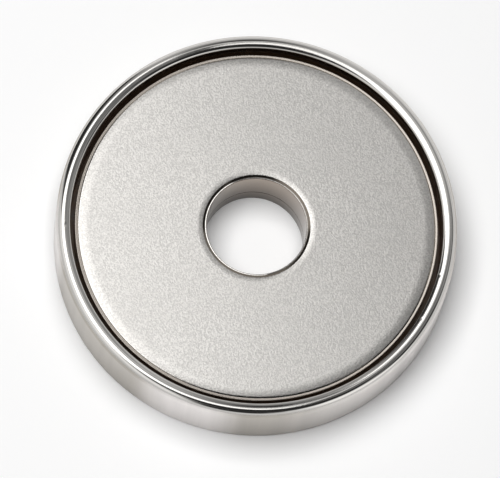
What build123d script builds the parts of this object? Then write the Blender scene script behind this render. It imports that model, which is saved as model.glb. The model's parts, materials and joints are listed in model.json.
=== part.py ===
from build123d import *

import os

# Pot magnet: a plated sintered ring bonded into a plated steel cup, open side up. Every piece is
# turned about Z. The cup's underside lies on Z = 0, and all sizes are in millimetres.

# Cup
cup_diameter = 66.0
cup_wall = 2.3
cup_floor = 3.0
rim_outer_round = 1.15
rim_land = 0.2  # the flat crest of the rim, which a held surface touches
rim_crown_fall = 0.2  # the rim's top curves down this far from the crest to its inner edge
rim_inner_bevel = 0.3
base_outer_bevel = 0.5

# Ring magnet
magnet_thickness = 7.0
magnet_gap = 0.8  # radial, between ring and cup wall
face_recess = 1.35  # the rim stands this far above the magnet's face
face_outer_round = 0.35
face_bore_round = 0.7
underside_bevel = 0.3  # outer edge only, where the ring drops into the adhesive

# One straight hole runs through the floor and the ring.
bore_diameter = 16.5

# Adhesive: a film under the ring and the bead that it squeezes out into the gap
bond_thickness = 0.15
bond_setback = 0.4  # the film stops this far short of the bore
bead_rise = 1.2  # height of the bead above the cup's floor

# Radii and levels that follow from the sizes above
cup_radius = cup_diameter / 2
cavity_radius = cup_radius - cup_wall
crown_radius = cup_radius - rim_outer_round - rim_land
magnet_radius = cavity_radius - magnet_gap
bore_radius = bore_diameter / 2
film_inner_radius = bore_radius + bond_setback
underside_level = cup_floor + bond_thickness
face_level = underside_level + magnet_thickness
rim_level = face_level + face_recess
rim_edge_level = rim_level - rim_crown_fall
bead_level = cup_floor + bead_rise


def corner(section, radius, level):
    """The corner of a half section at this radius and level, to be rounded or bevelled."""
    return section.vertices().sort_by_distance((radius, level))[0]


def cup_section():
    """Half section of the cup: floor, wall and crowned rim in one piece of steel."""
    with BuildSketch(Plane.XZ) as section:
        with BuildLine():
            Polyline(
                (cavity_radius, rim_edge_level),
                (cavity_radius, cup_floor),
                (bore_radius, cup_floor),
                (bore_radius, 0),
                (cup_radius, 0),
                (cup_radius, rim_level),
                (crown_radius, rim_level),
            )
            TangentArc((crown_radius, rim_level), (cavity_radius, rim_edge_level), tangent=(-1, 0))
        make_face()
        fillet(corner(section, cup_radius, rim_level), rim_outer_round)
        chamfer(corner(section, cavity_radius, rim_edge_level), rim_inner_bevel)
        chamfer(corner(section, cup_radius, 0), base_outer_bevel)
    return section.sketch


def magnet_section():
    """Half section of the ring, with a soft edge round its face and round the bore."""
    with BuildSketch(Plane.XZ) as section:
        with BuildLine():
            Polyline(
                (bore_radius, underside_level),
                (magnet_radius, underside_level),
                (magnet_radius, face_level),
                (bore_radius, face_level),
                close=True,
            )
        make_face()
        fillet(corner(section, magnet_radius, face_level), face_outer_round)
        fillet(corner(section, bore_radius, face_level), face_bore_round)
        chamfer(corner(section, magnet_radius, underside_level), underside_bevel)
    return section.sketch


def bond_section():
    """Half section of the adhesive: what was poured on the floor, less the ring pressed into it."""
    with BuildSketch(Plane.XZ) as section:
        with BuildLine():
            Polyline(
                (film_inner_radius, cup_floor),
                (cavity_radius, cup_floor),
                (cavity_radius, bead_level),
                (film_inner_radius, bead_level),
                close=True,
            )
        make_face()
        add(magnet_section(), mode=Mode.SUBTRACT)
    return section.sketch


def turned(section):
    """The solid that a half section sweeps in one full turn about Z."""
    return revolve(section, axis=Axis.Z)


os.makedirs("parts", exist_ok=True)
export_step(turned(cup_section()), "parts/cup.step")
export_step(turned(magnet_section()), "parts/ring_magnet.step")
export_step(turned(bond_section()), "parts/adhesive_bond.step")
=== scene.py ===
import json
import math
from collections import namedtuple

import bpy
from bpy.props import FloatProperty, FloatVectorProperty, PointerProperty
from mathutils import Matrix, Vector


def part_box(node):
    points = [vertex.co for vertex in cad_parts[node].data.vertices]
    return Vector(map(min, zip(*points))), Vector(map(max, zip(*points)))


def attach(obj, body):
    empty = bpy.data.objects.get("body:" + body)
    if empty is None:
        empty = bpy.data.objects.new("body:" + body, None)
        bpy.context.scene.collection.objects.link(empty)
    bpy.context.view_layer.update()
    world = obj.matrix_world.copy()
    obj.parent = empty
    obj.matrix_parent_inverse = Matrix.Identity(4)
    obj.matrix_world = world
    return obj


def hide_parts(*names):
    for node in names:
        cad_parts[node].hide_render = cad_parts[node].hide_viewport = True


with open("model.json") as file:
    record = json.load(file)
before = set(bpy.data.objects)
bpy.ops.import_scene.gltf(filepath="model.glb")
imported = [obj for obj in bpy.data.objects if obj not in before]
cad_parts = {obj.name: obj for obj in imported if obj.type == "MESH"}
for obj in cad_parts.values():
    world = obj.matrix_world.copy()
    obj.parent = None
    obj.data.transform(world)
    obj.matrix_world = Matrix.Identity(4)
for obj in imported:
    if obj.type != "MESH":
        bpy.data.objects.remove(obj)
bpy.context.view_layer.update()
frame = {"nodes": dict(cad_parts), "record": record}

bl_info = {
    "name": "Pot Magnet",
    "version": (1, 0, 0),
    "blender": (4, 5, 0),
    "location": "View3D > Sidebar > Pot Magnet",
    "description": "Makes a plated pot magnet: a turned steel cup, a satin ring magnet and their adhesive",
    "category": "Object",
}

# The main sizes, in metres, come from the CAD solids and from the record's bore.
CUP_RADIUS = round(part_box("cup")[1].x, 6)
CUP_HEIGHT = round(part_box("cup")[1].z, 6)
CAVITY_RADIUS = round(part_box("adhesive_bond")[1].x, 6)
CAVITY_FLOOR = round(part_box("adhesive_bond")[0].z, 6)
RING_RADIUS = round(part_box("ring_magnet")[1].x, 6)
RING_UNDERSIDE = round(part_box("ring_magnet")[0].z, 6)
RING_FACE = round(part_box("ring_magnet")[1].z, 6)
BORE_RADIUS = next(m for m in frame["record"]["mounts"] if m["name"] == "centre_bore")["dims"]["r_mm"] / 1000


# ---------------------------------------------------------------- sizes and colours to change

class CupSettings(bpy.types.PropertyGroup):
    """Edge shapes and finish of the cup"""

    rim_crown_slope: FloatProperty(
        name="Rim Crown Slope", description="How far the rim's top leans inwards where the inner round begins",
        default=math.radians(22), min=math.radians(2), max=math.radians(40), subtype="ANGLE")
    rim_crown_radius: FloatProperty(
        name="Rim Crown Radius", description="Radius of the slow curve across the rim's top",
        default=0.0022, min=0.0005, max=0.01, unit="LENGTH")
    rim_outer_round: FloatProperty(
        name="Rim Outer Round", description="Radius from the rim's top into the side wall",
        default=0.00124, min=0.0001, max=0.002, unit="LENGTH")
    rim_inner_round: FloatProperty(
        name="Rim Inner Round", description="Radius from the rim's top into the cavity",
        default=0.00035, min=0.00005, max=0.001, unit="LENGTH")
    base_round: FloatProperty(
        name="Base Round", description="Radius from the side wall into the underside",
        default=0.0005, min=0.00005, max=0.002, unit="LENGTH")
    nick_reach: FloatProperty(
        name="Nick Reach", description="Radius of the small nicks in the rim",
        default=0.00045, min=0.0001, max=0.002, unit="LENGTH")
    nick_depth: FloatProperty(
        name="Nick Depth", description="How deep the small nicks in the rim go",
        default=0.00002, min=0.0, max=0.0002, unit="LENGTH")
    plate_colour: FloatVectorProperty(
        name="Plate Colour", description="Colour of the bright nickel plate",
        default=(0.74, 0.72, 0.69), min=0, max=1, subtype="COLOR")


class RingSettings(bpy.types.PropertyGroup):
    """Edge shapes and finish of the ring magnet"""

    roll_off_slope: FloatProperty(
        name="Roll-off Slope", description="How far the face leans where it meets the step to its edge",
        default=math.radians(9), min=math.radians(1), max=math.radians(30), subtype="ANGLE")
    outer_roll_off: FloatProperty(
        name="Outer Roll-off", description="Radius of the slow curve from the face towards its outer edge",
        default=0.011, min=0.001, max=0.03, unit="LENGTH")
    bore_roll_off: FloatProperty(
        name="Bore Roll-off", description="Radius of the slow curve from the face towards the bore",
        default=0.006, min=0.001, max=0.03, unit="LENGTH")
    step_slope: FloatProperty(
        name="Step Slope", description="How steeply the face steps down to the narrow land along its edges",
        default=math.radians(24), min=math.radians(10), max=math.radians(70), subtype="ANGLE")
    step_round: FloatProperty(
        name="Step Round", description="Radius at the top and at the foot of the step",
        default=0.0001, min=0.00002, max=0.001, unit="LENGTH")
    outer_step: FloatProperty(
        name="Outer Step", description="Straight part of the step at the outer edge, down its slope",
        default=0.00016, min=0.0, max=0.001, unit="LENGTH")
    bore_step: FloatProperty(
        name="Bore Step", description="Straight part of the step at the bore, down its slope",
        default=0.00036, min=0.0, max=0.001, unit="LENGTH")
    land_slope: FloatProperty(
        name="Land Slope", description="How far the land leans back towards the face",
        default=math.radians(5), min=0, max=math.radians(20), subtype="ANGLE")
    outer_land: FloatProperty(
        name="Outer Land", description="Width of the land at the outer edge",
        default=0.00026, min=0.0, max=0.001, unit="LENGTH")
    bore_land: FloatProperty(
        name="Bore Land", description="Width of the land at the bore",
        default=0.00012, min=0.0, max=0.001, unit="LENGTH")
    edge_round: FloatProperty(
        name="Edge Round", description="Radius from the land into the ring's side and into the bore",
        default=0.00012, min=0.00002, max=0.001, unit="LENGTH")
    face_colour: FloatVectorProperty(
        name="Face Colour", description="Colour of the satin nickel plate",
        default=(0.72, 0.70, 0.67), min=0, max=1, subtype="COLOR")


class AdhesiveSettings(bpy.types.PropertyGroup):
    """Finish of the adhesive under and round the ring"""

    colour: FloatVectorProperty(
        name="Adhesive Colour", description="Colour of the cured epoxy",
        default=(0.09, 0.06, 0.04), min=0, max=1, subtype="COLOR")


class StudioSettings(bpy.types.PropertyGroup):
    """Camera, floor and light"""

    elevation: FloatProperty(
        name="Camera Elevation", description="Angle of the camera above the floor",
        default=math.radians(71.5), min=0, max=math.radians(90), subtype="ANGLE")
    roll: FloatProperty(
        name="Camera Roll", description="Turn of the camera about its line of sight",
        default=math.radians(12), subtype="ANGLE")
    distance: FloatProperty(
        name="Camera Distance", description="Distance from the camera to the middle of the cup's underside",
        default=0.9952, min=0.1, unit="LENGTH")
    lens: FloatProperty(
        name="Lens", description="Focal length in millimetres on a sensor 36 mm wide",
        default=432, min=10, subtype="DISTANCE_CAMERA")
    aim_right: FloatProperty(
        name="Aim Right", description="How far the camera points to the right of the middle of the cup's underside",
        default=-0.000444, unit="LENGTH")
    aim_up: FloatProperty(
        name="Aim Up", description="How far the camera points above that middle, in its own picture",
        default=0.000994, unit="LENGTH")
    floor_colour: FloatVectorProperty(
        name="Floor Colour", description="Colour of the floor",
        default=(0.97, 0.97, 0.97), min=0, max=1, subtype="COLOR")


class PotMagnetSettings(bpy.types.PropertyGroup):
    """Everything about the pot magnet that can be changed"""

    cup: PointerProperty(type=CupSettings)
    ring: PointerProperty(type=RingSettings)
    adhesive: PointerProperty(type=AdhesiveSettings)
    studio: PointerProperty(type=StudioSettings)


# ---------------------------------------------------------------- node wiring

class Wiring:
    """Adds nodes to a tree and wires each one as it is added."""

    def __init__(self, tree):
        self.tree = tree

    def node(self, kind, sockets=None, **settings):
        """A new node, with its own settings and with values or links for its input sockets."""
        made = self.tree.nodes.new(kind)
        for name, value in settings.items():
            setattr(made, name, value)
        for name, value in (sockets or {}).items():
            self.plug(made.inputs[name], value)
        return made

    def plug(self, socket, value):
        """Links an output into a socket, or sets the socket's own value."""
        if isinstance(value, bpy.types.NodeSocket):
            self.tree.links.new(value, socket)
        else:
            socket.default_value = value

    def math(self, operation, *values, **settings):
        """One sum on numbers."""
        made = self.node("ShaderNodeMath", dict(enumerate(values)), operation=operation, **settings)
        return made.outputs[0]

    def vector_math(self, operation, *values):
        """One sum on vectors. LENGTH and DOT_PRODUCT give a number."""
        made = self.node("ShaderNodeVectorMath", dict(enumerate(values)), operation=operation)
        return made.outputs["Value" if operation in ("LENGTH", "DOT_PRODUCT") else "Vector"]

    def vector(self, x, y, z):
        """A vector put together from three numbers."""
        return self.node("ShaderNodeCombineXYZ", {0: x, 1: y, 2: z}).outputs[0]

    def ramp(self, value, low, high, start=0.0, end=1.0, kind="SMOOTHSTEP"):
        """A step from start to end as value goes from low to high, soft unless another kind is asked for."""
        made = self.node("ShaderNodeMapRange", {
            "Value": value, "From Min": low, "From Max": high, "To Min": start, "To Max": end},
            interpolation_type=kind)
        return made.outputs[0]

    def noise(self, vector, scale, detail, distortion=0.0):
        """Soft noise from 0 to 1."""
        made = self.node("ShaderNodeTexNoise", {
            "Vector": vector, "Scale": scale, "Detail": detail, "Distortion": distortion})
        return made.outputs[0]

    def mix(self, share, first, second):
        """A colour between two."""
        made = self.node("ShaderNodeMix", data_type="RGBA")
        for socket, value in zip((made.inputs[0], made.inputs[6], made.inputs[7]), (share, first, second)):
            self.plug(socket, value)
        return made.outputs[2]


# ---------------------------------------------------------------- turned pieces

# A corner of a section, and a bend of an edge that has several. A bend's slope is the one that it turns into, less
# than 0 where that rises, and its straight is how far that slope then runs before the next bend.
Corner = namedtuple("Corner", "radius level rounding steps")
Bend = namedtuple("Bend", "slope radius straight steps")

# Steps in which the corners are rounded
HIDDEN_STEPS = 3
UNDERSIDE_STEPS = 5
BASE_STEPS = 8
RIM_OUTER_STEPS = 24
RIM_INNER_STEPS = 14
SLOW_CURVE_STEPS = 12
RING_STEP_STEPS = 6
RING_EDGE_STEPS = 8

# Faces round the axis
CUP_TURN_SEGMENTS = 1080
RING_TURN_SEGMENTS = 720

UPRIGHT = math.pi / 2
HIDDEN_ROUND = 0.00002  # on corners that don't show
UNDERSIDE_ROUND = 0.0003  # on the ring's lower outer edge, which sits in the adhesive


class TurnedSection(Wiring):
    """A geometry tree that turns a half section about Z. The section's corners come from named sizes."""

    AXLE = 0.001  # radius of the circle that carries the section round
    MERGED = 0.000001  # points nearer than this become one

    def __init__(self, name, sizes):
        super().__init__(bpy.data.node_groups.new(name, "GeometryNodeTree"))
        self.tree.is_modifier = True
        face = self.tree.interface
        face.new_socket("Geometry", in_out="OUTPUT", socket_type="NodeSocketGeometry")
        for label, subtype in sizes.items():
            face.new_socket(label, in_out="INPUT", socket_type="NodeSocketFloat").subtype = subtype
        face.new_socket("Turn Segments", in_out="INPUT", socket_type="NodeSocketInt")
        face.new_socket("Material", in_out="INPUT", socket_type="NodeSocketMaterial")
        self.way_in = self.tree.nodes.new("NodeGroupInput")
        self.corners = []

    def size(self, label):
        """One of the tree's named inputs."""
        return self.way_in.outputs[label]

    def corner(self, radius, level, rounding, steps):
        """Adds a rounded corner to the section, at this radius and level."""
        self.corners.append(Corner(radius, level, rounding, steps))

    def soft_edge(self, wall, level, side, bends, from_wall):
        """Where a level face turns down into an upright wall by way of one or more bends. side is 1 where the metal
        lies inside the wall and -1 where it lies outside."""
        slopes = [0.0] + [bend.slope for bend in bends]
        reach = []
        for number, bend in enumerate(bends):
            turn = self.math("ABSOLUTE", self.math("SUBTRACT", slopes[number + 1], slopes[number]))
            reach.append(self.math("MULTIPLY", bend.radius, self.math("TANGENT", self.math("MULTIPLY", turn, 0.5))))
        radius, height = wall, 0.0
        places = [(radius, height)]
        for number in range(len(bends) - 2, -1, -1):
            leg = self.math("ADD", self.math("ADD", reach[number], reach[number + 1]), bends[number].straight)
            run = self.math("MULTIPLY", leg, self.math("COSINE", slopes[number + 1]))
            rise = self.math("MULTIPLY", leg, self.math("SINE", slopes[number + 1]))
            radius = self.math("SUBTRACT", radius, self.math("MULTIPLY", run, side))
            height = self.math("ADD", height, rise)
            places.insert(0, (radius, height))
        top = height
        edge = []
        for (radius, height), bend in zip(places, bends):
            drop = self.math("SUBTRACT", top, height)
            edge.append(Corner(radius, self.math("SUBTRACT", level, drop), bend.radius, bend.steps))
        self.corners += reversed(edge) if from_wall else edge

    def choose(self, kind, values):
        """The value that belongs to each point of the section, by the point's index."""
        switch = self.node("GeometryNodeIndexSwitch", data_type=kind)
        while len(switch.index_switch_items) < len(values):
            switch.index_switch_items.new()
        self.plug(switch.inputs[0], self.node("GeometryNodeInputIndex").outputs[0])
        for number, value in enumerate(values):
            self.plug(switch.inputs[number + 1], value)
        return switch.outputs[0]

    def turn(self):
        """Rounds the section's corners and carries it round the axis."""
        places = [self.vector(self.math("SUBTRACT", corner.radius, self.AXLE),
                              self.math("MULTIPLY", corner.level, -1.0), 0.0) for corner in self.corners]
        line = self.node("GeometryNodeMeshLine", {"Count": len(places), "Offset": (0, 0, 0)}).outputs[0]
        line = self.node("GeometryNodeMeshToCurve", {"Mesh": line}).outputs[0]
        line = self.node("GeometryNodeSetSplineCyclic", {"Geometry": line, "Cyclic": True}).outputs[0]
        line = self.node("GeometryNodeSetPosition", {
            "Geometry": line, "Position": self.choose("VECTOR", places)}).outputs[0]
        line = self.node("GeometryNodeFilletCurve", {
            "Curve": line, "Count": self.choose("INT", [corner.steps for corner in self.corners]),
            "Radius": self.choose("FLOAT", [corner.rounding for corner in self.corners]),
            "Limit Radius": True}, mode="POLY").outputs[0]
        circle = self.node("GeometryNodeCurvePrimitiveCircle", {
            "Resolution": self.size("Turn Segments"), "Radius": self.AXLE}).outputs[0]
        circle = self.node("GeometryNodeSetCurveNormal", {"Curve": circle}, mode="Z_UP").outputs[0]
        mesh = self.node("GeometryNodeCurveToMesh", {"Curve": circle, "Profile Curve": line}).outputs[0]
        mesh = self.node("GeometryNodeMergeByDistance", {"Geometry": mesh, "Distance": self.MERGED}).outputs[0]
        return self.node("GeometryNodeFlipFaces", {"Mesh": mesh}).outputs[0]

    def nick(self, mesh, azimuth, radius, level, reach, depth):
        """Presses a small round nick down into what stands higher than a level, at this azimuth and radius."""
        middle = (radius * math.cos(math.radians(azimuth)), radius * math.sin(math.radians(azimuth)), 0)
        place = self.node("GeometryNodeInputPosition").outputs[0]
        across = self.vector_math("MULTIPLY", self.vector_math("SUBTRACT", place, middle), (1, 1, 0))
        share = self.ramp(self.vector_math("LENGTH", across), 0.0, reach, 1.0, 0.0)
        high = self.math("GREATER_THAN", self.vector_math("DOT_PRODUCT", place, (0, 0, 1)), level)
        fall = self.math("MULTIPLY", self.math("MULTIPLY", share, high), self.math("MULTIPLY", depth, -1.0))
        return self.node("GeometryNodeSetPosition", {
            "Geometry": mesh, "Offset": self.vector(0.0, 0.0, fall)}).outputs[0]

    def finish(self, mesh):
        """Shades the mesh smooth, gives it its material and puts it out of the tree."""
        mesh = self.node("GeometryNodeSetShadeSmooth", {"Geometry": mesh, "Shade Smooth": True}).outputs[0]
        mesh = self.node("GeometryNodeRealizeInstances", {"Geometry": mesh}).outputs[0]
        mesh = self.node("GeometryNodeSetMaterial", {
            "Geometry": mesh, "Material": self.size("Material")}).outputs[0]
        self.node("NodeGroupOutput", {"Geometry": mesh})
        return self.tree


# Where the rim is nicked: azimuth in degrees and radius in metres
RIM_NICKS = ((356, 0.0311), (341, 0.03125), (193, 0.0313))


def cup_tree():
    """The cup's section: underside, side wall, crowned rim, cavity and the floor's hole."""
    section = TurnedSection("Cup Section", {
        "Outer Radius": "DISTANCE", "Height": "DISTANCE", "Cavity Radius": "DISTANCE", "Cavity Floor": "DISTANCE",
        "Bore Radius": "DISTANCE", "Base Round": "DISTANCE", "Rim Crown Slope": "ANGLE",
        "Rim Crown Radius": "DISTANCE", "Rim Outer Round": "DISTANCE", "Rim Inner Round": "DISTANCE",
        "Hidden Round": "DISTANCE", "Nick Reach": "DISTANCE", "Nick Depth": "DISTANCE"})
    size = section.size
    section.corner(size("Bore Radius"), 0.0, size("Hidden Round"), HIDDEN_STEPS)
    section.corner(size("Outer Radius"), 0.0, size("Base Round"), BASE_STEPS)
    section.corner(size("Outer Radius"), size("Height"), size("Rim Outer Round"), RIM_OUTER_STEPS)
    section.soft_edge(size("Cavity Radius"), size("Height"), -1.0, [
        Bend(size("Rim Crown Slope"), size("Rim Crown Radius"), 0.0, SLOW_CURVE_STEPS),
        Bend(UPRIGHT, size("Rim Inner Round"), 0.0, RIM_INNER_STEPS)], from_wall=False)
    section.corner(size("Cavity Radius"), size("Cavity Floor"), size("Hidden Round"), HIDDEN_STEPS)
    section.corner(size("Bore Radius"), size("Cavity Floor"), size("Hidden Round"), HIDDEN_STEPS)
    mesh = section.turn()
    for azimuth, radius in RIM_NICKS:
        mesh = section.nick(mesh, azimuth, radius, RING_FACE, size("Nick Reach"), size("Nick Depth"))
    return section.finish(mesh)


def ring_tree():
    """The ring's section: underside, side, bore, and a face that rolls off and steps down to a land at each edge."""
    section = TurnedSection("Ring Section", {
        "Outer Radius": "DISTANCE", "Underside": "DISTANCE", "Face Level": "DISTANCE", "Bore Radius": "DISTANCE",
        "Underside Round": "DISTANCE", "Roll-off Slope": "ANGLE", "Outer Roll-off": "DISTANCE",
        "Bore Roll-off": "DISTANCE", "Step Slope": "ANGLE", "Step Round": "DISTANCE", "Outer Step": "DISTANCE",
        "Bore Step": "DISTANCE", "Land Slope": "ANGLE", "Outer Land": "DISTANCE", "Bore Land": "DISTANCE",
        "Edge Round": "DISTANCE", "Hidden Round": "DISTANCE"})
    size = section.size
    section.corner(size("Bore Radius"), size("Underside"), size("Hidden Round"), HIDDEN_STEPS)
    section.corner(size("Outer Radius"), size("Underside"), size("Underside Round"), UNDERSIDE_STEPS)
    leant_back = section.math("MULTIPLY", size("Land Slope"), -1.0)
    section.soft_edge(size("Outer Radius"), size("Face Level"), 1.0, [
        Bend(size("Roll-off Slope"), size("Outer Roll-off"), 0.0, SLOW_CURVE_STEPS),
        Bend(size("Step Slope"), size("Step Round"), size("Outer Step"), RING_STEP_STEPS),
        Bend(leant_back, size("Step Round"), size("Outer Land"), RING_STEP_STEPS),
        Bend(UPRIGHT, size("Edge Round"), 0.0, RING_EDGE_STEPS)], from_wall=True)
    section.soft_edge(size("Bore Radius"), size("Face Level"), -1.0, [
        Bend(size("Roll-off Slope"), size("Bore Roll-off"), 0.0, SLOW_CURVE_STEPS),
        Bend(size("Step Slope"), size("Step Round"), size("Bore Step"), RING_STEP_STEPS),
        Bend(leant_back, size("Step Round"), size("Bore Land"), RING_STEP_STEPS),
        Bend(UPRIGHT, size("Edge Round"), 0.0, RING_EDGE_STEPS)], from_wall=False)
    return section.finish(section.turn())


# The Weighted Normal modifier passes over faces as small as these, so it works on a piece enlarged by this much.
ENLARGED = 1000


def keep_result(holder):
    """Puts the mesh that an object's modifiers make in place of the object's own, and removes the modifiers."""
    bpy.context.view_layer.update()
    holder.data = bpy.data.meshes.new_from_object(holder.evaluated_get(bpy.context.evaluated_depsgraph_get()))
    holder.modifiers.clear()
    return holder.data


def made_from(tree, name, values):
    """Runs a geometry tree with these values for its named inputs, and keeps the result as a plain mesh object."""
    holder = bpy.data.objects.new(name, bpy.data.meshes.new(name))
    bpy.context.scene.collection.objects.link(holder)
    turned = holder.modifiers.new("Turned", "NODES")
    turned.node_group = tree
    for socket in tree.interface.items_tree:
        if socket.item_type == "SOCKET" and socket.in_out == "INPUT":
            turned[socket.identifier] = values[socket.name]
    keep_result(holder).transform(Matrix.Scale(ENLARGED, 4))
    level = holder.modifiers.new("Flat faces stay flat", "WEIGHTED_NORMAL")
    level.mode = "FACE_AREA"
    level.weight = 100
    keep_result(holder).transform(Matrix.Scale(1 / ENLARGED, 4))
    holder.data.name = name
    return holder


# ---------------------------------------------------------------- finishes

# Bright plate of the cup
RIM_CLOUD_SCALE = 140
RIM_CLOUD_CONTRAST = 0.03
RIM_ROUGHNESS = (0.06, 0.12)
WAVE_SCALE = 260
WAVE_HEIGHT = 0.000004
WALL_PAINTED_SHADE_TINT = (0.605, 0.58, 0.547)  # the side wall's plate against the rim's, painted darker as shade
# Painted highlights that brighten the side wall where light falls on it: azimuth and half width in degrees, and how
# much brighter
WALL_PAINTED_HIGHLIGHTS = ((195, 13, 0.62), (261, 18, 0.78), (327, 44, 0.64))
PAINTED_HIGHLIGHT_TINT = (1.0, 1.06, 1.25)  # a painted highlight is less yellow than the rest of the wall
STREAK_SCALE = 330
STREAK_STRETCH = 0.06  # how fast the streaks change up the wall against round it
STREAK_CONTRAST = 0.06
FOOT_SHADE_TONE = 0.5  # the tone of the painted shade that the wall goes towards at its foot
FOOT_SHADE_SHARE = 0.35  # and how far it goes
FOOT_SHADE_SPAN = (0.0003, 0.01)  # the levels between which that fades out
WALL_DULLNESS = 0.24  # added to the rim's roughness
WALL_INSET = (0.0007, 0.0004)  # the wall's finish begins and is whole this far in from the outer radius
WALL_DROP = (0.0006, 0.0003)  # and it fades out between these depths under the rim
CAVITY_DARK_BROWN = (0.30, 0.19, 0.12)
CAVITY_DULLNESS = 0.2
CAVITY_FADE = (0.0001, 0.0003)  # the dark brown fades out between these distances from the cavity's wall
CAVITY_DEPTH = (0.001, 0.0002)  # and between these depths under the ring's face
DARK_BROWN_COVER = 0.15  # how much of the cavity's metal the dark brown hides

# The hole through both: its wall is painted dark as shade inside the hole
BORE_COLOUR = (0.31, 0.25, 0.2)
BORE_FOOT_SHADE = 0.25  # the tone of the painted shade at the foot of the hole's wall against that at its top
BORE_TOP_DEPTH = 0.001  # the wall has its full tone from this depth under the ring's face
BORE_ROUGHNESS = 0.12
CUP_BORE_FADE = (0.0001, 0.0003)  # the hole's finish fades out between these distances from its wall
RING_BORE_FADE = (0.00006, 0.0001)

# Satin plate of the ring
FACE_ROUGHNESS = 0.3
FACE_INSET = 0.0005  # the face's finish stops this far from both edges
FACE_BLEND = 0.0003
EDGE_ROUGHNESS = 0.05
EDGE_BLEND = 0.00006
LIP_OVERLAP = 0.00004  # how far the steps' dark tint goes onto the land at the bore
GRAIN_SCALE = 4200
GRAIN_HEIGHT = 0.000015
GRAIN_CONTRAST = 0.13
FACE_CLOUD_SCALE = 90
FACE_CLOUD_SHARE = 0.3
FACE_CLOUD_CONTRAST = 0.06
LAND_TINT = (0.82, 0.765, 0.715)  # the plate on the land at the ring's outer edge against the face's
LAND_ROUGHNESS = 0.27
STEP_TINT = (0.32, 0.285, 0.25)  # the plate on the steps at the ring's edges, darker, against the face's

# Adhesive
EPOXY_CLOUD_SCALE = 500
EPOXY_CONTRAST = 0.3
EPOXY_ROUGHNESS = (0.28, 0.45)
EPOXY_RIPPLE = 0.00008


def new_finish(name):
    """A node material, the wiring for it, its shader, and the place of each point on the piece."""
    material = bpy.data.materials.new(name)
    material.use_nodes = True
    wiring = Wiring(material.node_tree)
    shader = material.node_tree.nodes["Principled BSDF"]
    place = wiring.node("ShaderNodeTexCoord").outputs["Object"]
    return material, wiring, shader, place


def radius_and_height(wiring, place):
    """How far a point lies from the axis, and how high."""
    radius = wiring.vector_math("LENGTH", wiring.vector_math("MULTIPLY", place, (1, 1, 0)))
    height = wiring.vector_math("DOT_PRODUCT", place, (0, 0, 1))
    return radius, height


def between(wiring, value, low, high, blend):
    """1 where a value lies between two others and 0 beyond them, with this much blend inside each end."""
    return wiring.math("MULTIPLY", wiring.ramp(value, low, low + blend),
                       wiring.ramp(value, high - blend, high, 1.0, 0.0))


def shades(colour, spread):
    """A colour's darker and lighter shade, this share away from it."""
    return [[min(1, part * (1 + side * spread)) for part in colour] + [1] for side in (-1, 1)]


def tinted(colour, tint):
    """A colour under a tint."""
    return [part * share for part, share in zip(colour, tint)] + [1]


def bore_shade(wiring, height):
    """The colour of the hole's wall, painted dark as shade, and darker still towards its foot."""
    dark = [part * BORE_FOOT_SHADE for part in BORE_COLOUR]
    lit = wiring.ramp(height, 0.0, RING_FACE - BORE_TOP_DEPTH, kind="LINEAR")
    return wiring.mix(lit, (*dark, 1), (*BORE_COLOUR, 1))


def wall_plate(wiring, place, height, colour):
    """The side wall's plate: streaked upright, with painted shade towards its foot and painted highlights in places.
    """
    stretched = wiring.vector_math("MULTIPLY", place, (1, 1, STREAK_STRETCH))
    streaks = wiring.noise(stretched, STREAK_SCALE, detail=4, distortion=0.4)
    wall_colour = tinted(colour, WALL_PAINTED_SHADE_TINT)[:3]
    wall = wiring.mix(wiring.ramp(streaks, 0.25, 0.75), *shades(wall_colour, STREAK_CONTRAST))
    # Painted shade: the wall darkens towards its foot.
    foot = wiring.ramp(height, *FOOT_SHADE_SPAN, FOOT_SHADE_SHARE, 0.0, kind="LINEAR")
    wall = wiring.mix(foot, wall, [part * FOOT_SHADE_TONE for part in wall_colour] + [1])
    outward = wiring.vector_math("NORMALIZE", wiring.vector_math("MULTIPLY", place, (1, 1, 0)))
    # Painted highlights: the wall brightens at these azimuths, where light falls on it.
    painted_highlight = 0.0
    for azimuth, half_width, gain in WALL_PAINTED_HIGHLIGHTS:
        facing = wiring.vector_math("DOT_PRODUCT", outward, direction(azimuth, 0))
        painted_highlight = wiring.math("ADD", painted_highlight, wiring.ramp(facing, math.cos(math.radians(half_width)), 1.0, 0.0, gain))
    painted_highlight = wiring.vector_math("MULTIPLY", wiring.vector(painted_highlight, painted_highlight, painted_highlight), PAINTED_HIGHLIGHT_TINT)
    return wiring.vector_math("MULTIPLY", wall, wiring.vector_math("ADD", painted_highlight, (1, 1, 1)))


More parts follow.
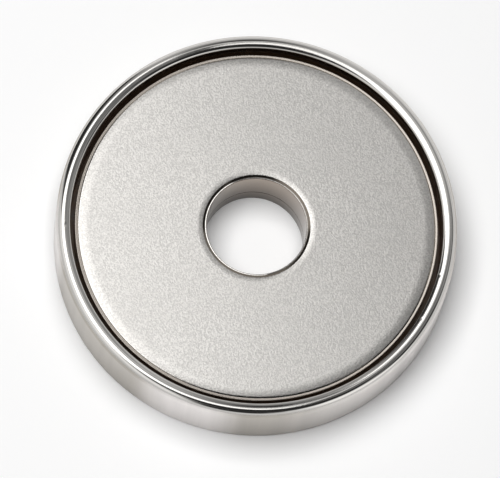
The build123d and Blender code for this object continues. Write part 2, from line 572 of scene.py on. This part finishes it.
def bright_plate(colour):
    """Bright nickel plate on a drawn steel cup: a near mirror on the rim, duller down the side wall, which carries
    painted shade and painted highlights, and dark brown inside the cavity."""
    material, wiring, shader, place = new_finish("Bright Nickel Plate")
    radius, height = radius_and_height(wiring, place)
    on_wall = wiring.math("MULTIPLY",
                          wiring.ramp(radius, *(CUP_RADIUS - inset for inset in WALL_INSET)),
                          wiring.ramp(height, *(CUP_HEIGHT - drop for drop in WALL_DROP), 1.0, 0.0))
    in_cavity = wiring.math("MULTIPLY",
                            wiring.ramp(radius, *(CAVITY_RADIUS + fade for fade in CAVITY_FADE), 1.0, 0.0),
                            wiring.ramp(height, *(RING_FACE - depth for depth in CAVITY_DEPTH), 1.0, 0.0))
    in_bore = wiring.ramp(radius, *(BORE_RADIUS + fade for fade in CUP_BORE_FADE), 1.0, 0.0)
    clouds = wiring.noise(place, RIM_CLOUD_SCALE, detail=3)
    plate = wiring.mix(wiring.ramp(clouds, 0.3, 0.7), *shades(colour, RIM_CLOUD_CONTRAST))
    plate = wiring.mix(on_wall, plate, wall_plate(wiring, place, height, colour))
    plate = wiring.mix(in_cavity, plate, (*CAVITY_DARK_BROWN, 1))
    plate = wiring.mix(in_bore, plate, bore_shade(wiring, height))
    wiring.plug(shader.inputs["Base Color"], plate)
    polish = wiring.ramp(clouds, 0.25, 0.75, *RIM_ROUGHNESS)
    polish = wiring.math("ADD", polish, wiring.math("MULTIPLY", on_wall, WALL_DULLNESS))
    polish = wiring.math("ADD", polish, wiring.math("MULTIPLY", in_cavity, CAVITY_DULLNESS))
    wiring.plug(shader.inputs["Roughness"], wiring.ramp(in_bore, 0.0, 1.0, polish, BORE_ROUGHNESS, kind="LINEAR"))
    browned = wiring.math("SUBTRACT", in_cavity, in_bore, use_clamp=True)
    covered = wiring.math("MULTIPLY", browned, DARK_BROWN_COVER)
    wiring.plug(shader.inputs["Metallic"], wiring.math("SUBTRACT", 1.0, covered))
    waves = wiring.noise(place, WAVE_SCALE, detail=2)
    bump = wiring.node("ShaderNodeBump", {
        "Strength": wiring.math("SUBTRACT", 1.0, in_bore), "Distance": WAVE_HEIGHT, "Height": waves})
    wiring.plug(shader.inputs["Normal"], bump.outputs[0])
    return material


def satin_plate(ring):
    """Satin nickel plate on a sintered ring: fine wandering grain on the face, smooth where the face steps down at
    its edges, duller on the land at the outer edge, and painted dark brown as shade in the bore."""
    material, wiring, shader, place = new_finish("Satin Nickel Plate")
    shader.inputs["Metallic"].default_value = 1.0
    colour = ring.face_colour
    land = RING_RADIUS - ring.edge_round - ring.outer_land
    lip = BORE_RADIUS + ring.edge_round + ring.bore_land
    radius, height = radius_and_height(wiring, place)
    on_face = between(wiring, radius, BORE_RADIUS + FACE_INSET, RING_RADIUS - FACE_INSET, FACE_BLEND)
    on_land = wiring.ramp(radius, land - EDGE_BLEND, land)
    on_step = wiring.math("MAXIMUM",
                          between(wiring, radius, land - ring.outer_step - EDGE_BLEND, land, EDGE_BLEND),
                          between(wiring, radius, lip - LIP_OVERLAP, lip + ring.bore_step + EDGE_BLEND, EDGE_BLEND))
    in_bore = wiring.ramp(radius, *(BORE_RADIUS + fade for fade in RING_BORE_FADE), 1.0, 0.0)
    grain = wiring.noise(place, GRAIN_SCALE, detail=0, distortion=0.5)
    clouds = wiring.noise(place, FACE_CLOUD_SCALE, detail=3)
    plate = wiring.mix(wiring.ramp(grain, 0.36, 0.64), *shades(colour, GRAIN_CONTRAST))
    cloudy = wiring.math("MULTIPLY", wiring.ramp(clouds, 0.3, 0.7), FACE_CLOUD_SHARE)
    plate = wiring.mix(cloudy, plate, shades(colour, FACE_CLOUD_CONTRAST)[0])
    plate = wiring.mix(on_land, plate, tinted(colour, LAND_TINT))
    plate = wiring.mix(on_step, plate, tinted(colour, STEP_TINT))
    plate = wiring.mix(in_bore, plate, bore_shade(wiring, height))
    wiring.plug(shader.inputs["Base Color"], plate)
    polish = wiring.ramp(in_bore, 0.0, 1.0, EDGE_ROUGHNESS, BORE_ROUGHNESS, kind="LINEAR")
    polish = wiring.ramp(on_land, 0.0, 1.0, polish, LAND_ROUGHNESS, kind="LINEAR")
    wiring.plug(shader.inputs["Roughness"], wiring.ramp(on_face, 0.0, 1.0, polish, FACE_ROUGHNESS, kind="LINEAR"))
    bump = wiring.node("ShaderNodeBump", {"Strength": on_face, "Distance": GRAIN_HEIGHT, "Height": grain})
    wiring.plug(shader.inputs["Normal"], bump.outputs[0])
    return material


def cured_epoxy(colour):
    """Dark cured epoxy, slightly uneven."""
    material, wiring, shader, place = new_finish("Cured Epoxy")
    clouds = wiring.noise(place, EPOXY_CLOUD_SCALE, detail=3)
    epoxy = wiring.mix(wiring.ramp(clouds, 0.3, 0.7), *shades(colour, EPOXY_CONTRAST))
    wiring.plug(shader.inputs["Base Color"], epoxy)
    wiring.plug(shader.inputs["Roughness"], wiring.ramp(clouds, 0.2, 0.8, *EPOXY_ROUGHNESS))
    bump = wiring.node("ShaderNodeBump", {"Strength": 0.6, "Distance": EPOXY_RIPPLE, "Height": clouds})
    wiring.plug(shader.inputs["Normal"], bump.outputs[0])
    return material


# ---------------------------------------------------------------- studio

# One large soft box hangs over the cup, level with the floor: its middle, its width and depth in metres, its turn
# about the upright in degrees, and its glow, where 1 is white.
KEY_PLACE = (-0.131, 0.073, 0.45)
KEY_SIZE = (0.28, 0.26)
KEY_TURN = 29.0
KEY_GLOW = 1.3

# Matt surfaces, such as the floor, take their light from a second lamp that metal doesn't mirror, and from this
# share of the studio's own glow.
FLOOR_LIGHT_PLACE = (-0.162, 0.028, 0.9)
FLOOR_LIGHT_SIZE = (0.62, 0.72)
FLOOR_LIGHT_GLOW = 6.6
MATT_SHARE = 0.08

# The studio round it is pale, with lighter and darker patches: azimuth and elevation of a patch's middle, half its
# width and half its height, the softness of its edge, all in degrees, and its glow. Azimuth 0 is +X and 90 is +Y.
STUDIO_GLOW = 0.68
STUDIO_PATCHES = {
    "left wall": (211, 49, 35, 13, 12, 0.97),
    "right wall": (329, 31, 19, 16, 12, 1.1),
    "gap at the back left": (141, 26, 17, 27, 8, 0.03),
    "dark ceiling at the right": (326, 74, 23, 23, 8, 0.03),
    "dim back wall": (105, 39, 19, 10, 12, 0.33),
    "dim right wall": (26, 49, 34, 15, 12, 0.3),
    "dark at the right": (0, 46, 12, 10, 8, 0.03),
    "dark low at the right": (20, 39, 16, 5, 6, 0.04),
    "dark beside the soft box": (37, 70.5, 10.5, 10, 8, 0.18),
    "dark over the camera": (277, 51, 13, 15, 12, 0.03),
    "dark behind the soft box": (97, 54.5, 6, 11, 12, 0.03),
}


# The camera's film and reach, and the floor, in metres but for the film's width
FILM_WIDTH_MM = 36
NEAREST_SEEN = 0.01
FARTHEST_SEEN = 20
FLOOR_HALF_WIDTH = 3.0
FLOOR_CLEARANCE = 0.00002  # the floor lies this far under the cup, so that the two don't share a plane


def camera_axes(elevation, roll):
    """The camera's right, up and backward directions, looking along +Y and down, then rolled."""
    right = Vector((1, 0, 0))
    up = Vector((0, math.sin(elevation), math.cos(elevation)))
    back = Vector((0, -math.cos(elevation), math.sin(elevation)))
    turned_right = right * math.cos(roll) + up * math.sin(roll)
    turned_up = up * math.cos(roll) - right * math.sin(roll)
    return turned_right, turned_up, back


def place_camera(studio):
    """The camera, held to the cup by elevation, roll, distance and aim."""
    right, up, back = camera_axes(studio.elevation, studio.roll)
    aim = right * studio.aim_right + up * studio.aim_up
    data = bpy.data.cameras.new("Studio Camera")
    data.sensor_width = FILM_WIDTH_MM
    data.lens = studio.lens
    data.clip_start = NEAREST_SEEN
    data.clip_end = FARTHEST_SEEN
    camera = bpy.data.objects.new("Studio Camera", data)
    bpy.context.scene.collection.objects.link(camera)
    turn = Matrix((right, up, back)).transposed().to_4x4()
    turn.translation = aim + back * studio.distance
    camera.matrix_world = turn
    bpy.context.scene.camera = camera


def place_floor(studio):
    """A wide pale floor just under the cup."""
    corners = [(x * FLOOR_HALF_WIDTH, y * FLOOR_HALF_WIDTH, -FLOOR_CLEARANCE)
               for x, y in ((-1, -1), (1, -1), (1, 1), (-1, 1))]
    mesh = bpy.data.meshes.new("Floor")
    mesh.from_pydata(corners, [], [(0, 1, 2, 3)])
    floor = bpy.data.objects.new("Floor", mesh)
    bpy.context.scene.collection.objects.link(floor)
    material, _, shader, _ = new_finish("Pale Floor")
    shader.inputs["Base Color"].default_value = (*studio.floor_colour, 1)
    shader.inputs["Roughness"].default_value = 1.0
    shader.inputs["Specular IOR Level"].default_value = 0.0
    mesh.materials.append(material)


def soft_box(name, place, size, turn, glow):
    """An area lamp over the cup that glows evenly: its radiance is the glow."""
    data = bpy.data.lights.new(name, "AREA")
    data.shape = "RECTANGLE"
    data.size, data.size_y = size
    data.energy = math.pi * glow * data.size * data.size_y
    lamp = bpy.data.objects.new(name, data)
    lamp.visible_camera = False
    lamp.location = place
    lamp.rotation_euler.z = math.radians(turn)
    bpy.context.scene.collection.objects.link(lamp)
    return lamp


def place_lamps():
    """The soft box that metal mirrors, and the lamp for matt surfaces."""
    soft_box("Key Soft Box", KEY_PLACE, KEY_SIZE, KEY_TURN, KEY_GLOW).visible_diffuse = False
    soft_box("Floor Light", FLOOR_LIGHT_PLACE, FLOOR_LIGHT_SIZE, 0.0, FLOOR_LIGHT_GLOW).visible_glossy = False


def direction(azimuth, elevation):
    """The unit vector towards an azimuth and elevation in degrees."""
    around, upward = math.radians(azimuth), math.radians(elevation)
    return Vector((math.cos(around) * math.cos(upward), math.sin(around) * math.cos(upward), math.sin(upward)))


def patch_share(wiring, ray, azimuth, elevation, half_width, half_height, softness):
    """How much of a soft-edged rectangular patch of the studio a ray meets, from 0 to 1."""
    middle = direction(azimuth, elevation)
    across = direction(azimuth + 90, 0)
    upward = middle.cross(across)
    ahead = wiring.vector_math("DOT_PRODUCT", ray, middle)
    share = 1.0
    for axis, half in ((across, half_width), (upward, half_height)):
        angle = wiring.math("ABSOLUTE", wiring.math("ARCTAN2", wiring.vector_math("DOT_PRODUCT", ray, axis), ahead))
        edge = wiring.ramp(angle, math.radians(half - softness / 2), math.radians(half + softness / 2), 1.0, 0.0)
        share = wiring.math("MULTIPLY", share, edge)
    return share


def light_world():
    """A pale studio with lighter and darker patches, white where the camera looks straight at it."""
    world = bpy.data.worlds.new("Studio")
    bpy.context.scene.world = world
    world.use_nodes = True
    wiring = Wiring(world.node_tree)
    ray = wiring.node("ShaderNodeTexCoord").outputs["Generated"]
    glow = STUDIO_GLOW
    for azimuth, elevation, half_width, half_height, softness, strength in STUDIO_PATCHES.values():
        share = patch_share(wiring, ray, azimuth, elevation, half_width, half_height, softness)
        glow = wiring.ramp(share, 0.0, 1.0, glow, strength, kind="LINEAR")
    path = wiring.node("ShaderNodeLightPath")
    mirrored = wiring.math("MAXIMUM", path.outputs["Is Glossy Ray"], path.outputs["Is Transmission Ray"])
    glow = wiring.math("MULTIPLY", glow, wiring.ramp(mirrored, 0.0, 1.0, MATT_SHARE, 1.0, kind="LINEAR"))
    light = wiring.node("ShaderNodeBackground", {"Color": (1, 1, 1, 1), "Strength": glow}).outputs[0]
    seen = wiring.node("ShaderNodeBackground", {"Color": (1, 1, 1, 1), "Strength": 1.0}).outputs[0]
    both = wiring.node("ShaderNodeMixShader", {0: path.outputs["Is Camera Ray"], 1: light, 2: seen}).outputs[0]
    wiring.plug(world.node_tree.nodes["World Output"].inputs["Surface"], both)


# ---------------------------------------------------------------- operators and panel

class POTMAGNET_OT_cup(bpy.types.Operator):
    """Turn the cup and plate it bright"""

    bl_idname = "potmagnet.cup"
    bl_label = "Make Cup"

    def execute(self, context):
        edges = context.scene.pot_magnet.cup
        cup = made_from(cup_tree(), "plated_cup", {
            "Outer Radius": CUP_RADIUS, "Height": CUP_HEIGHT, "Cavity Radius": CAVITY_RADIUS,
            "Cavity Floor": CAVITY_FLOOR, "Bore Radius": BORE_RADIUS, "Base Round": edges.base_round,
            "Rim Crown Slope": edges.rim_crown_slope, "Rim Crown Radius": edges.rim_crown_radius,
            "Rim Outer Round": edges.rim_outer_round, "Rim Inner Round": edges.rim_inner_round,
            "Hidden Round": HIDDEN_ROUND, "Nick Reach": edges.nick_reach, "Nick Depth": edges.nick_depth,
            "Turn Segments": CUP_TURN_SEGMENTS, "Material": bright_plate(edges.plate_colour)})
        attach(cup, "root")
        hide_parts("cup")
        return {"FINISHED"}


class POTMAGNET_OT_ring(bpy.types.Operator):
    """Turn the ring magnet and give it its satin face"""

    bl_idname = "potmagnet.ring"
    bl_label = "Make Ring Magnet"

    def execute(self, context):
        edges = context.scene.pot_magnet.ring
        ring = made_from(ring_tree(), "plated_ring", {
            "Outer Radius": RING_RADIUS, "Underside": RING_UNDERSIDE, "Face Level": RING_FACE,
            "Bore Radius": BORE_RADIUS, "Underside Round": UNDERSIDE_ROUND, "Roll-off Slope": edges.roll_off_slope,
            "Outer Roll-off": edges.outer_roll_off, "Bore Roll-off": edges.bore_roll_off,
            "Step Slope": edges.step_slope, "Step Round": edges.step_round, "Outer Step": edges.outer_step,
            "Bore Step": edges.bore_step, "Land Slope": edges.land_slope, "Outer Land": edges.outer_land,
            "Bore Land": edges.bore_land, "Edge Round": edges.edge_round, "Hidden Round": HIDDEN_ROUND,
            "Turn Segments": RING_TURN_SEGMENTS, "Material": satin_plate(edges)})
        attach(ring, "root")
        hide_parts("ring_magnet")
        return {"FINISHED"}


class POTMAGNET_OT_adhesive(bpy.types.Operator):
    """Give the adhesive its cured finish"""

    bl_idname = "potmagnet.adhesive"
    bl_label = "Finish Adhesive"

    def execute(self, context):
        bond = frame["nodes"]["adhesive_bond"]
        epoxy = cured_epoxy(context.scene.pot_magnet.adhesive.colour)
        if bond.material_slots:
            for slot in bond.material_slots:
                slot.material = epoxy
        else:
            bond.data.materials.append(epoxy)
        return {"FINISHED"}


class POTMAGNET_OT_stage(bpy.types.Operator):
    """Set up the floor, the soft light and the camera"""

    bl_idname = "potmagnet.stage"
    bl_label = "Make Stage"

    def execute(self, context):
        studio = context.scene.pot_magnet.studio
        place_floor(studio)
        light_world()
        place_lamps()
        place_camera(studio)
        context.scene.view_settings.view_transform = "Standard"
        return {"FINISHED"}


class POTMAGNET_PT_sidebar(bpy.types.Panel):
    """Everything about the pot magnet"""

    bl_idname = "POTMAGNET_PT_sidebar"
    bl_label = "Pot Magnet"
    bl_space_type = "VIEW_3D"
    bl_region_type = "UI"
    bl_category = "Pot Magnet"

    def draw(self, context):
        settings = context.scene.pot_magnet
        for title, group, operator in (
                ("Cup", settings.cup, POTMAGNET_OT_cup),
                ("Ring Magnet", settings.ring, POTMAGNET_OT_ring),
                ("Adhesive", settings.adhesive, POTMAGNET_OT_adhesive),
                ("Stage", settings.studio, POTMAGNET_OT_stage)):
            box = self.layout.box()
            box.label(text=title)
            for key in group.bl_rna.properties.keys():
                if key not in ("rna_type", "name"):
                    box.prop(group, key)
            box.operator(operator.bl_idname)


CLASSES = (
    CupSettings, RingSettings, AdhesiveSettings, StudioSettings, PotMagnetSettings,
    POTMAGNET_OT_cup, POTMAGNET_OT_ring, POTMAGNET_OT_adhesive, POTMAGNET_OT_stage, POTMAGNET_PT_sidebar,
)


def register():
    """Makes the settings, operators and panel known to Blender."""
    for kind in CLASSES:
        bpy.utils.register_class(kind)
    bpy.types.Scene.pot_magnet = PointerProperty(type=PotMagnetSettings)


def unregister():
    """Takes the settings, operators and panel away again."""
    del bpy.types.Scene.pot_magnet
    for kind in reversed(CLASSES):
        bpy.utils.unregister_class(kind)


def main():
    """Makes every piece and the stage."""
    register()
    bpy.ops.potmagnet.cup()
    bpy.ops.potmagnet.ring()
    bpy.ops.potmagnet.adhesive()
    bpy.ops.potmagnet.stage()


if __name__ == "__main__":
    main()
